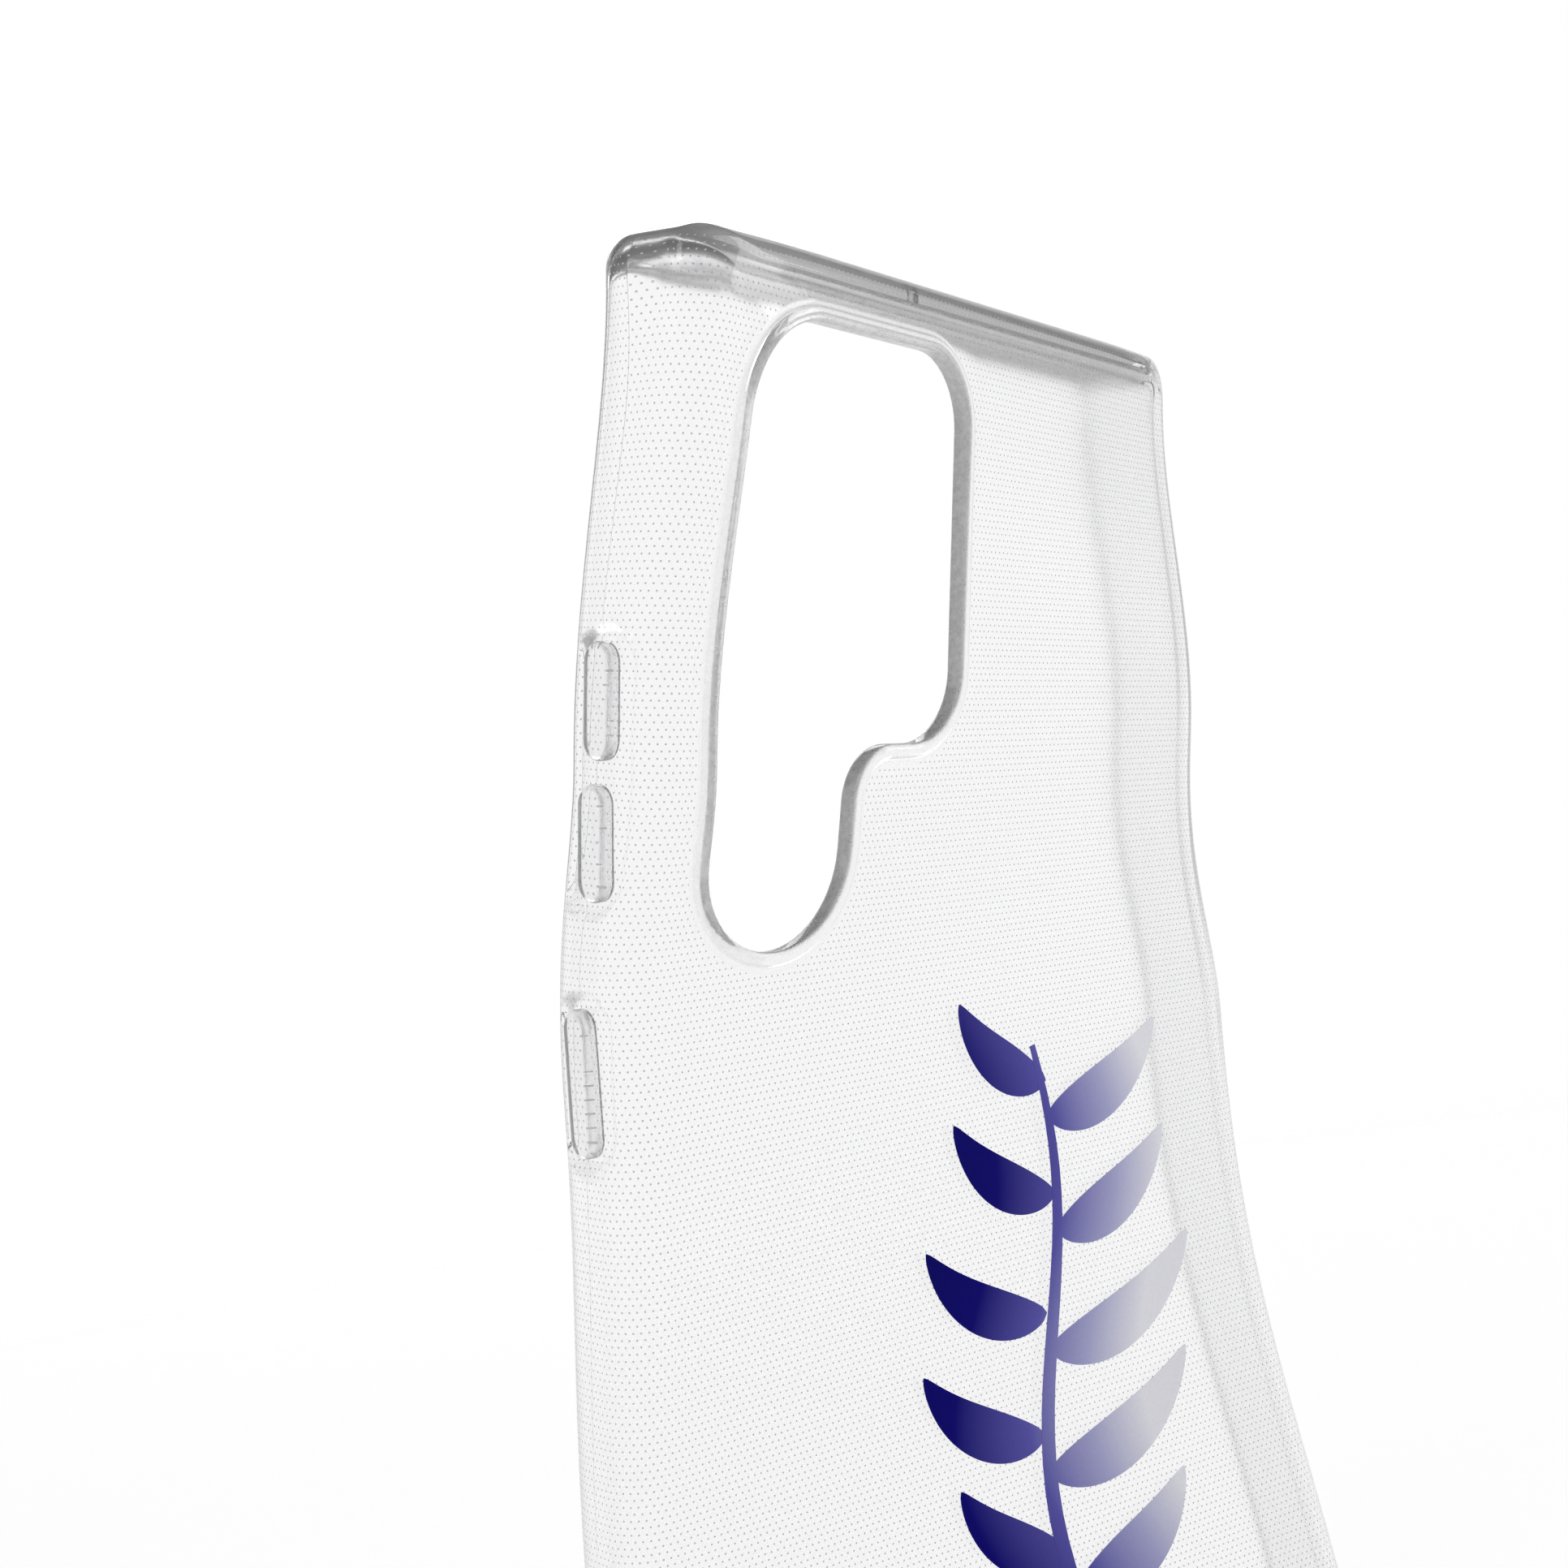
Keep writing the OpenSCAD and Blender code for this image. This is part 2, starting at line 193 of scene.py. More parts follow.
# ---- Mesh helpers ----
def new_object(name, verts, faces, materials, uvs=None, slots=None):
    """Object from straight coordinates, with one UV pair for each vertex and one slot for each face."""
    mesh = bpy.data.meshes.new(name)
    mesh.from_pydata([tuple(v) for v in verts], [], faces)
    for m in materials:
        mesh.materials.append(m)
    if slots is not None:
        mesh.polygons.foreach_set("material_index", slots)
    if uvs is not None:
        layer = mesh.uv_layers.new(name="flat")
        index = np.zeros(len(mesh.loops), np.int32)
        mesh.loops.foreach_get("vertex_index", index)
        layer.data.foreach_set("uv", np.asarray(uvs, np.float32)[index].ravel())
    ob = bpy.data.objects.new(name, mesh)
    bpy.context.scene.collection.objects.link(ob)
    return ob


def smooth_by_angle(mesh, degrees):
    """Smooth faces, with edges sharper than that left crisp."""
    bm = bmesh.new()
    bm.from_mesh(mesh)
    limit = math.radians(degrees)
    for f in bm.faces:
        f.smooth = True
    for e in bm.edges:
        e.smooth = len(e.link_faces) != 2 or e.calc_face_angle(0) < limit
    bm.to_mesh(mesh)
    bm.free()


def vertices_of(ob):
    """The object's vertices as an array."""
    co = np.zeros(len(ob.data.vertices) * 3, np.float32)
    ob.data.vertices.foreach_get("co", co)
    return co.reshape(-1, 3).astype(float)


def set_vertices(ob, points):
    """Moves the object's vertices to points in the frame, given in millimetres."""
    ob.data.vertices.foreach_set("co", (points * MM).astype(np.float32).ravel())
    ob.data.update()


# ---- Outlines ----
def arc(cx, cz, r, a0, a1, n):
    """n + 1 points on an arc, angles in degrees."""
    a = np.radians(np.linspace(a0, a1, n + 1))
    return np.stack([cx + r * np.cos(a), cz + r * np.sin(a)], 1)


def camera_outline(grow):
    """The camera opening, moved out by grow, always with the same number of points."""
    left_r, right_r, low_r, step_r, fillet = CUT_RADII
    top_left = arc(CUT_LEFT + left_r, CUT_TOP - left_r, left_r + grow, 180, 90, 14)
    top_right = arc(CUT_RIGHT - right_r, CUT_TOP - right_r, right_r + grow, 90, 0, 14)
    step = arc(CUT_RIGHT - step_r, CUT_STEP_Z + step_r, step_r + grow, 0, -90, 14)
    inner = arc(CUT_STEP_X + fillet, CUT_STEP_Z - fillet, fillet - grow, 90, 180, 12)
    bottom = arc(CUT_LEFT + low_r, CUT_BOTTOM + low_r, low_r + grow, 0, -180, 28)
    corners = [top_left, top_right, step, inner, bottom]
    runs = []
    for run, following, count in zip(corners, corners[1:] + corners[:1], (16, 15, 3, 4, 22)):
        t = np.linspace(0, 1, count + 2)[1:-1, None]
        runs += [run, run[-1] * (1 - t) + following[0] * t]
    return np.vstack(runs)


def ring(side_inset, side_y, end_inset, end_y, radius):
    """Points round the case at one place of its section, anticlockwise from the bottom right. Their y changes
    smoothly from that of the side walls to that of the end walls, over CORNER_BLEND each way."""
    hx, z0, z1 = CASE_W / 2 - side_inset, end_inset, CASE_H - end_inset
    x0 = hx - radius
    runs, shares = [], []

    def add(points, past_corner):
        """Adds points, with the distance of each past the middle of its corner, towards the end wall."""
        share = np.clip(0.5 + past_corner / (2 * CORNER_BLEND), 0, 1)
        runs.append(points)
        shares.append(eased(share))

    def corner(cx, cz, a0):
        """Adds a quarter turn from angle a0."""
        along = (np.linspace(0, 1, CORNER_STEPS + 1) - 0.5) * radius * math.pi / 2
        add(arc(cx, cz, radius, a0, a0 + 90, CORNER_STEPS), along if a0 in (0, 180) else -along)

    def side(x, levels):
        """Adds a side wall's points at these levels."""
        low, high = levels.min(), levels.max()
        bottom, top = max(z0 + radius + SIDE_MARGIN, low), min(z1 - radius - SIDE_MARGIN, high)
        z = np.interp(levels, (low, *KEPT_LEVELS, high), (bottom, *KEPT_LEVELS, top))
        near = np.minimum(z - z0 - radius, z1 - radius - z)
        add(np.stack([np.full(len(z), x), z], 1), -near - radius * math.pi / 4)

    def end(z, xs):
        """Adds an end wall's points at these xs."""
        add(np.stack([xs, np.full(len(xs), z)], 1), x0 - np.abs(xs) + radius * math.pi / 4)

    side(hx, SIDE_RUN[SIDE_RUN % 2 == 0])
    corner(hx - radius, z1 - radius, 0)
    end(z1, x0 * ACROSS_RUN)
    corner(-hx + radius, z1 - radius, 90)
    side(-hx, SIDE_RUN[::-1])
    corner(-hx + radius, z0 + radius, 180)
    end(z0, -x0 * ACROSS_RUN)
    corner(hx - radius, z0 + radius, 270)
    flat = np.vstack(runs)
    share = np.concatenate(shares)
    return np.stack([flat[:, 0], side_y * (1 - share) + end_y * share, flat[:, 1]], 1)


def quarter(steps):
    """Cosines and sines of a quarter turn, from 0 to 90 degrees, for that many steps."""
    a = np.radians(np.linspace(0, 90, steps + 1))
    return list(zip(np.cos(a), np.sin(a)))


def section_rings():
    """Section of the case from the flat outer back round the lip to the flat inner back. Each entry is
    (side inset, side y, end inset, end y, corner radius, distance along the outside of the side, slot)."""
    rings = []
    for c, s in quarter(14):
        rings.append((EDGE_SIDE_R * (1 - s), EDGE_SIDE_R * (1 - c), EDGE_END_R * (1 - s), EDGE_END_R * (1 - c),
                      BACK_CORNER_R + (CORNER_R - BACK_CORNER_R) * s, EDGE_SIDE_R * math.acos(min(c, 1)), 0))
    along = rings[-1][5]
    side_top, end_top = CASE_T - LIP_SIDE_RISE, CASE_T - LIP_END_R
    for t in np.linspace(0, 1, 9)[1:]:
        y = EDGE_SIDE_R + (side_top - EDGE_SIDE_R) * t
        rings.append((0, y, 0, EDGE_END_R + (end_top - EDGE_END_R) * t, CORNER_R, along + y - EDGE_SIDE_R, 0))
    along = rings[-1][5]
    for c, s in quarter(12)[1:]:
        inset = LIP_SIDE_INSET * (1 - c)
        rings.append((inset, side_top + LIP_SIDE_RISE * s, LIP_END_R * (1 - c), end_top + LIP_END_R * s,
                      CORNER_R - inset * 0.5, along + LIP_SIDE_RISE * math.acos(min(c, 1)), 0 if s < 0.9 else 1))
    tip_r = LIP_T / 2
    tip_x = WALL + LIP_REACH - tip_r
    under = CASE_T - LIP_T
    for a in np.linspace(80, -90, 9):
        c, s = math.cos(math.radians(a)), math.sin(math.radians(a))
        y = CASE_T - tip_r + tip_r * s
        rings.append((tip_x + tip_r * c, y, tip_x + tip_r * c, y, POCKET_CORNER_R, along, 1))
    # Underside of the lip, hollowed like the phone's rounded side, down to the ledge of the pocket
    ledge = WALL + STEP_IN
    for c, s in quarter(6)[1:]:
        inset = ledge + (tip_x - WALL - STEP_IN) * (1 - s)
        rings.append((inset, under - (under - STEP_Y) * (1 - c) * HOLLOW_SHARE, inset, under - HOLLOW_END * (1 - c),
                      LIP_CORNER_R, along, 1))
    step_side, step_end = STEP_Y - STEP_T, under - STEP_END_DROPS[1]
    rings.append((ledge, STEP_Y, ledge, under - STEP_END_DROPS[0], LIP_CORNER_R, along, 1))
    rings.append((WALL, step_side, WALL, step_end, POCKET_CORNER_R, along, 1))
    low = BACK + POCKET_R
    for t in np.linspace(0, 1, 8)[1:]:
        rings.append((WALL, step_side * (1 - t) + low * t, WALL, step_end * (1 - t) + low * t,
                      POCKET_CORNER_R, along, 1))
    for c, s in quarter(10)[1:]:
        rings.append((WALL + POCKET_R * (1 - c), low - POCKET_R * s, WALL + POCKET_END_R * (1 - c),
                      low - POCKET_R * s, POCKET_CORNER_R - (1 - c), along, 1))
    return rings


def stadium_distance(y, s, zc, length, width):
    """Signed distance from a round-ended slot that runs up the wall; negative inside."""
    half = (length - width) / 2
    ds = np.maximum(np.abs(s - zc) - half, 0)
    return np.hypot(ds, y - KEY_Y) - width / 2


def press_recesses(points):
    """Dents the button wall round the power cover and round the two volume covers, from outside and from inside."""
    groups = ((POWER[0], POWER[1] + RECESS_LONGER),
              ((VOLUME_UP[0] + VOLUME_DOWN[0]) / 2, VOLUME_UP[0] - VOLUME_DOWN[0] + VOLUME_UP[1] + RECESS_LONGER))
    x, y, s = points.T
    for zc, length in groups:
        distance = stadium_distance(y, s, zc, length, COVER_W + RECESS_WIDER)
        share = eased(np.clip(0.5 - distance / RECESS_SLOPE, 0, 1))
        push = np.where(x < -CASE_W / 2 + RECESS_REACH, share * RECESS_OUT, 0)
        inner = (np.abs(x + CASE_W / 2 - WALL) < 0.25) & (y < CASE_T - RECESS_BELOW_LIP)
        points[:, 0] += push - np.where(inner, share * RECESS_IN, 0)
    return points


def flat_fill(outer_ring, hole_ring, y):
    """Triangles of a flat panel between an outer ring and a hole, with a point at every PANEL_STEP inside."""
    outer = [Vector(p) for p in outer_ring]
    hole = [Vector(p) for p in hole_ring]
    inside = []
    w = np.abs(outer_ring[:, 0]).max()
    z0, z1 = outer_ring[:, 1].min(), outer_ring[:, 1].max()
    for z in np.arange(z0 + PANEL_START, z1 - PANEL_END, PANEL_STEP):
        for x in np.arange(-w + PANEL_START, w - PANEL_END, PANEL_STEP):
            near = np.hypot(hole_ring[:, 0] - x, hole_ring[:, 1] - z).min()
            if near > PANEL_STEP * 0.6 and not in_outline(x, z, hole_ring):
                inside.append(Vector((x, z)))
    points = outer + hole + inside
    n, m = len(outer), len(hole)
    edges = [(i, (i + 1) % n) for i in range(n)] + [(n + i, n + (i + 1) % m) for i in range(m)]
    verts, _, faces, _, _, _ = delaunay_2d_cdt(points, edges, [], 1, 1e-6)
    out = np.array([(v.x, y, v.y) for v in verts])
    kept = []
    for f in faces:
        c = out[list(f)].mean(0)
        if not in_outline(c[0], c[2], hole_ring):
            kept.append(tuple(f))
    return out, kept


def in_outline(x, z, outline):
    """True if the point lies inside the closed outline."""
    x0, z0 = outline[:, 0], outline[:, 1]
    x1, z1 = np.roll(x0, -1), np.roll(z0, -1)
    crosses = (z0 > z) != (z1 > z)
    with np.errstate(divide="ignore", invalid="ignore"):
        at = x0 + (z - z0) * (x1 - x0) / (z1 - z0)
    return bool(np.count_nonzero(crosses & (x < at)) % 2)


def strips(first, second, count):
    """Quads between two rings that start at vertex numbers first and second."""
    return [(first + i, first + (i + 1) % count, second + (i + 1) % count, second + i) for i in range(count)]


def camera_profile():
    """Section of the raised rim: distance out from the opening's edge, and y."""
    rise = [(1.9, 0.0), (1.6, -0.03), (1.4, -0.12), (1.27, -0.26), (1.18, -0.42), (1.03, -0.54), (0.82, -0.6),
            (0.58, -0.61), (0.34, -0.57), (0.15, -0.46), (0.04, -0.3), (0.0, -0.1), (0.0, 0.3), (0.0, 0.75)]
    return rise + [(0.04, 1.0), (0.14, 1.18), (0.32, 1.28), (0.6, BACK)]


def straight_shell():
    """The whole moulding in straight coordinates: vertices, faces, UVs and slot of each face."""
    verts, faces, uvs, slots = [], [], [], []
    rings = section_rings()
    # The flat coordinates run on down the side walls, past the rounded edge, so that the dots keep their pitch
    half = CASE_W / 2 - EDGE_SIDE_R
    start = 0
    for k, (*place, out, slot) in enumerate(rings):
        points = ring(*place)
        count = len(points)
        flat = points[:, [0, 2]].copy()
        sideways = np.abs(points[:, 0]) >= half - 0.01
        flat[:, 0] = np.where(sideways, np.sign(points[:, 0]) * (half + out), flat[:, 0])
        verts.append(points)
        uvs.append(flat)
        if k:
            made = strips(start - count, start, count)
            faces += made
            slots += [slot] * len(made)
        start += count
    total = start
    ring_verts = press_recesses(np.vstack(verts))
    ring_uvs = np.vstack(uvs)

    profile = camera_profile()
    rim_verts, rim_uvs = [], []
    for k, (d, y) in enumerate(profile):
        outline = camera_outline(d)
        m = len(outline)
        rim_verts.append(np.stack([outline[:, 0], np.full(m, y), outline[:, 1]], 1))
        rim_uvs.append(outline)
        if k:
            made = strips(total - m, total, m)
            faces += [tuple(reversed(f)) for f in made]
            slots += [2] * len(made)
        total += m

    back_ring = ring_verts[:count][:, [0, 2]]
    inner_ring = ring_verts[start - count:start][:, [0, 2]]
    panels = []
    for outline, grow, y, slot in ((back_ring, profile[0][0], 0.0, 0), (inner_ring, profile[-1][0], BACK, 1)):
        points, tris = flat_fill(outline, camera_outline(grow), y)
        faces += [tuple(i + total for i in f) for f in tris]
        slots += [slot] * len(tris)
        total += len(points)
        panels.append(points)
    everything = np.vstack([ring_verts] + rim_verts + panels)
    all_uvs = np.vstack([ring_uvs] + rim_uvs + [p[:, [0, 2]] for p in panels])
    return everything, faces, all_uvs, slots


def cleaned(ob):
    """Welds points that lie together, turns every face outwards and says how many edges are left open."""
    bm = bmesh.new()
    bm.from_mesh(ob.data)
    bmesh.ops.remove_doubles(bm, verts=bm.verts, dist=WELD)
    bmesh.ops.recalc_face_normals(bm, faces=bm.faces)
    open_edges = sum(len(e.link_faces) != 2 for e in bm.edges)
    bm.to_mesh(ob.data)
    bm.free()
    print(ob.name, "open edges:", open_edges)


def slot_cutter(name, x, z, width, height):
    """Round-ended bar along z, to cut a port through an end wall."""
    r = height / 2
    run = width / 2 - r
    outline = np.vstack([arc(x + run, KEY_Y, r, -90, 90, 20), arc(x - run, KEY_Y, r, 90, 270, 20)])
    n = len(outline)
    verts = [(p[0], p[1], z) for p in outline] + [(p[0], p[1], z + PORT_DEPTH) for p in outline]
    faces = [tuple(range(n))[::-1], tuple(range(n, 2 * n))]
    faces += [(i, (i + 1) % n, n + (i + 1) % n, n + i) for i in range(n)]
    ob = new_object(name, verts, faces, [])
    cleaned(ob)
    return ob


def cut_ports(shell):
    """Opens the ports of the bottom wall and the microphone hole of the top wall."""
    cutters = [slot_cutter("cut_" + name, *place) for name, *place in PORTS]
    bpy.context.view_layer.update()
    for cutter in cutters:
        mod = shell.modifiers.new(cutter.name, "BOOLEAN")
        mod.operation = "DIFFERENCE"
        mod.solver = "EXACT"
        mod.object = cutter
        cutter.hide_render = True
    graph = bpy.context.evaluated_depsgraph_get()
    mesh = bpy.data.meshes.new_from_object(shell.evaluated_get(graph), depsgraph=graph)
    shell.modifiers.clear()
    old = shell.data
    shell.data = mesh
    bpy.data.meshes.remove(old)
    for cutter in cutters:
        bpy.data.objects.remove(cutter)


def split_shell(shell):
    """Cuts the shell at the levels in CUTS, between the flex zones, and gives one object for each zone."""
    bm = bmesh.new()
    bm.from_mesh(shell.data)
    for level in CUTS:
        geom = list(bm.verts) + list(bm.edges) + list(bm.faces)
        bmesh.ops.bisect_plane(bm, geom=geom, dist=1e-4, plane_co=(0, 0, level), plane_no=(0, 0, 1))
    whole = bpy.data.meshes.new("whole")
    bm.to_mesh(whole)
    bm.free()
    pieces = []
    limits = (-1.0,) + CUTS + (CASE_H + 1.0,)
    for i, name in enumerate(("clear_shell_lower", "clear_shell_shoulder", "clear_shell_crown")):
        part = bmesh.new()
        part.from_mesh(whole)
        away = [f for f in part.faces if not limits[i] < f.calc_center_median().z < limits[i + 1]]
        bmesh.ops.delete(part, geom=away, context="FACES")
        mesh = bpy.data.meshes.new(name)
        part.to_mesh(mesh)
        part.free()
        for m in shell.data.materials:
            mesh.materials.append(m)
        ob = bpy.data.objects.new(name, mesh)
        bpy.context.scene.collection.objects.link(ob)
        smooth_by_angle(mesh, SHELL_CREASE)
        pieces.append(ob)
    bpy.data.objects.remove(shell)
    return pieces


# ---- Materials ----
TPU_IOR = 1.49
# The lattice: distance of the dots in a row, distance of the rows, radius of a dot and half width of its soft edge
DOT_PITCH, DOT_ROW, DOT_R, DOT_SOFT = 0.657, 0.572, 0.085, 0.022
DOT_SHARE = 0.92
# The dots stop this far from the ends of the case, and at this x on its right
DOT_END_MARGIN, DOT_RIGHT = 1.2, 38.6
# The ink's gradient starts at this x and runs over this width, and drifts sideways by so much up the print
INK_START, INK_RUN, INK_DRIFT, INK_DRIFT_RATE = -12.0, 34.0, 4.0, 0.13
INK_STOPS = ((0.0, (0.001, 0.0, 0.125)), (0.28, (0.003, 0.001, 0.165)), (0.55, (0.11, 0.1, 0.42)),
             (0.78, (0.42, 0.42, 0.68)), (1.0, (0.88, 0.88, 0.94)))


def node_material(name):
    """New node material without nodes, with its lists of nodes and links."""
    mat = bpy.data.materials.new(name)
    mat.use_nodes = True
    nodes, links = mat.node_tree.nodes, mat.node_tree.links
    nodes.clear()
    return mat, nodes, links


def maths(nodes, links, operation, *values):
    """Output of a math node on these values, each a number or another node's output."""
    node = nodes.new("ShaderNodeMath")
    node.operation = operation
    for socket, value in zip(node.inputs, values):
        if isinstance(value, (int, float)):
            socket.default_value = value
        else:
            links.new(value, socket)
    return node.outputs[0]


def map_range(nodes, links, value, from_min, from_max, to_min=0.0, to_max=1.0, smooth=True):
    """Output of a node that takes a value from one range to another and stops at its ends."""
    node = nodes.new("ShaderNodeMapRange")
    if smooth:
        node.interpolation_type = "SMOOTHSTEP"
    sockets = ("From Min", "From Max", "To Min", "To Max")
    for socket, number in zip(sockets, (from_min, from_max, to_min, to_max)):
        node.inputs[socket].default_value = number
    links.new(value, node.inputs["Value"])
    return node.outputs[0]


def noise(nodes, links, vector, scale, detail=2.0):
    """Output of a noise texture."""
    node = nodes.new("ShaderNodeTexNoise")
    node.inputs["Scale"].default_value = scale
    node.inputs["Detail"].default_value = detail
    links.new(vector, node.inputs["Vector"])
    return node.outputs["Fac"]


def one_colour(nodes, kind, colour):
    """Output of a Diffuse or Transparent shader of one colour."""
    shader = nodes.new("ShaderNodeBsdf" + kind)
    shader.inputs["Color"].default_value = (*colour, 1)
    return shader.outputs[0]


def mix_shaders(nodes, links, share, first, second):
    """Output of a mix that goes from the first shader to the second as share rises."""
    mix = nodes.new("ShaderNodeMixShader")
    for socket, output in zip(mix.inputs, (share, first, second)):
        links.new(output, socket)
    return mix.outputs[0]


def flat_coordinates(nodes, links):
    """The flat coordinates in millimetres, as a vector, as x and as height."""
    uv = nodes.new("ShaderNodeUVMap")
    uv.uv_map = "flat"
    split = nodes.new("ShaderNodeSeparateXYZ")
    links.new(uv.outputs[0], split.inputs[0])
    return uv.outputs[0], split.outputs["X"], split.outputs["Y"]


def clear_plastic(name, tint, roughness, flow_marks=0.02, dots=False, end_wall_shade=0.0, milk=0.0):
    """Clear moulded TPU, which lets lamps through. It can carry the fine lattice of dots, turn grey towards the end
    walls with painted shade, a dark grey mixed in for the dark reflection of their inner faces, and have the
    mottled marks of a cut edge by the share milk."""
    mat, nodes, links = node_material(name)
    out = nodes.new("ShaderNodeOutputMaterial")
    glass = nodes.new("ShaderNodeBsdfPrincipled")
    # The plastic looks darker where it is seen along its surface
    facing = nodes.new("ShaderNodeLayerWeight")
    facing.inputs["Blend"].default_value = 0.5
    tone = nodes.new("ShaderNodeMix")
    tone.data_type = "RGBA"
    links.new(map_range(nodes, links, facing.outputs["Facing"], 0.55, 1.0), tone.inputs["Factor"])
    tone.inputs["A"].default_value = (*tint, 1)
    tone.inputs["B"].default_value = (*(0.3 * c for c in tint), 1)
    links.new(tone.outputs["Result"], glass.inputs["Base Color"])
    glass.inputs["Transmission Weight"].default_value = 1
    glass.inputs["Roughness"].default_value = roughness
    glass.inputs["IOR"].default_value = TPU_IOR
    # Slight flow marks of the moulding
    coords = nodes.new("ShaderNodeTexCoord").outputs["Object"]
    bump = nodes.new("ShaderNodeBump")
    bump.inputs["Strength"].default_value = flow_marks
    bump.inputs["Distance"].default_value = 0.001
    links.new(noise(nodes, links, coords, 90), bump.inputs["Height"])
    links.new(bump.outputs["Normal"], glass.inputs["Normal"])
    surface = glass.outputs[0]
    if dots:
        dot = one_colour(nodes, "Diffuse", (0.52, 0.52, 0.53))
        surface = mix_shaders(nodes, links, dot_lattice(nodes, links), surface, dot)
    # Painted shade: dark grey mixed in on the inner faces of the end walls, in place of their dark reflection
    if end_wall_shade:
        share = maths(nodes, links, "MULTIPLY", end_wall_shade_mask(nodes, links), end_wall_shade)
        surface = mix_shaders(nodes, links, share, surface, one_colour(nodes, "Diffuse", (0.33, 0.33, 0.33)))
    if milk:
        specks = noise(nodes, links, coords, 1400, 3)
        share = map_range(nodes, links, specks, 0.35, 0.65, milk * 0.85, milk * 1.15, smooth=False)
        surface = mix_shaders(nodes, links, share, surface, one_colour(nodes, "Diffuse", (0.88, 0.88, 0.88)))
    shadow = nodes.new("ShaderNodeLightPath").outputs["Is Shadow Ray"]
    clear = one_colour(nodes, "Transparent", (0.93, 0.93, 0.94))
    links.new(mix_shaders(nodes, links, shadow, surface, clear), out.inputs["Surface"])
    return mat


def off_middle(nodes, links, height):
    """How far a point is from half height, up or down."""
    return maths(nodes, links, "ABSOLUTE", maths(nodes, links, "SUBTRACT", height, CASE_H / 2))


def end_wall_shade_mask(nodes, links):
    """Mask of the painted shade: rises from 0 on the flat inner back to 1 on the inner faces of the top and bottom
    walls.
    """
    _, _, height = flat_coordinates(nodes, links)
    wall = CASE_H / 2 - WALL
    return map_range(nodes, links, off_middle(nodes, links, height), wall - POCKET_END_R, wall - 0.1)


def dot_lattice(nodes, links):
    """Mask of round dots in staggered rows, from the flat coordinates."""
    _, x, height = flat_coordinates(nodes, links)
    v = maths(nodes, links, "DIVIDE", height, DOT_ROW)
    odd = maths(nodes, links, "FLOORED_MODULO", maths(nodes, links, "FLOOR", v), 2)
    u = maths(nodes, links, "MULTIPLY_ADD", odd, 0.5, maths(nodes, links, "DIVIDE", x, DOT_PITCH))
    squares = []
    for way, size in ((u, DOT_PITCH), (v, DOT_ROW)):
        way = maths(nodes, links, "SUBTRACT", maths(nodes, links, "FRACT", way), 0.5)
        way = maths(nodes, links, "MULTIPLY", way, size)
        squares.append(maths(nodes, links, "MULTIPLY", way, way))
    distance = maths(nodes, links, "SQRT", maths(nodes, links, "ADD", *squares))
    away = maths(nodes, links, "SUBTRACT", DOT_R + DOT_SOFT, distance)
    mask = nodes.new("ShaderNodeClamp")
    links.new(maths(nodes, links, "DIVIDE", away, 2 * DOT_SOFT), mask.inputs[0])
    # No dots on the end walls, nor past the rounded edge at the right
    inside = maths(nodes, links, "LESS_THAN", off_middle(nodes, links, height), CASE_H / 2 - DOT_END_MARGIN)
    inside = maths(nodes, links, "MULTIPLY", inside, maths(nodes, links, "LESS_THAN", x, DOT_RIGHT))
    return maths(nodes, links, "MULTIPLY", maths(nodes, links, "MULTIPLY", mask.outputs[0], inside), DOT_SHARE)


def ink_material():
    """Printed ink: dark blue at the left, through lavender, to nearly white at the right."""
    mat, nodes, links = node_material("printed_ink")
    out = nodes.new("ShaderNodeOutputMaterial")
    shader = nodes.new("ShaderNodeBsdfPrincipled")
    flat, x, height = flat_coordinates(nodes, links)
    drift = maths(nodes, links, "SINE", maths(nodes, links, "MULTIPLY", height, INK_DRIFT_RATE))
    along = maths(nodes, links, "MULTIPLY_ADD", drift, INK_DRIFT, x)
    share = maths(nodes, links, "DIVIDE", maths(nodes, links, "ADD", along, -INK_START), INK_RUN)
    ramp = nodes.new("ShaderNodeValToRGB")
    for i, (at, colour) in enumerate(INK_STOPS):
        stop = ramp.color_ramp.elements[i] if i < 2 else ramp.color_ramp.elements.new(at)
        stop.position = at
        stop.color = (*colour, 1)
    links.new(share, ramp.inputs[0])
    # Weak, blotchy grain of the print
    tone = nodes.new("ShaderNodeMix")
    tone.data_type = "RGBA"
    tone.blend_type = "MULTIPLY"
    tone.inputs["Factor"].default_value = 0.12
    links.new(ramp.outputs[0], tone.inputs["A"])
    links.new(noise(nodes, links, flat, 3.0), tone.inputs["B"])
    links.new(tone.outputs["Result"], shader.inputs["Base Color"])
    shader.inputs["Roughness"].default_value = 0.32
    shader.inputs["Specular IOR Level"].default_value = 0.03
    links.new(shader.outputs[0], out.inputs["Surface"])
    return mat


DOTTED = clear_plastic("clear_tpu_dotted", (0.9, 0.9, 0.905), 0.05, dots=True)
PLAIN = clear_plastic("clear_tpu_inner", (0.93, 0.93, 0.935), 0.2, end_wall_shade=0.6)
RIM = clear_plastic("clear_tpu_rim", (0.985, 0.985, 0.99), 0.04, flow_marks=0.06, milk=0.3)
COVER = clear_plastic("clear_tpu_cover", (0.985, 0.985, 0.99), 0.05, flow_marks=0.05, milk=0.12)
INK = ink_material()


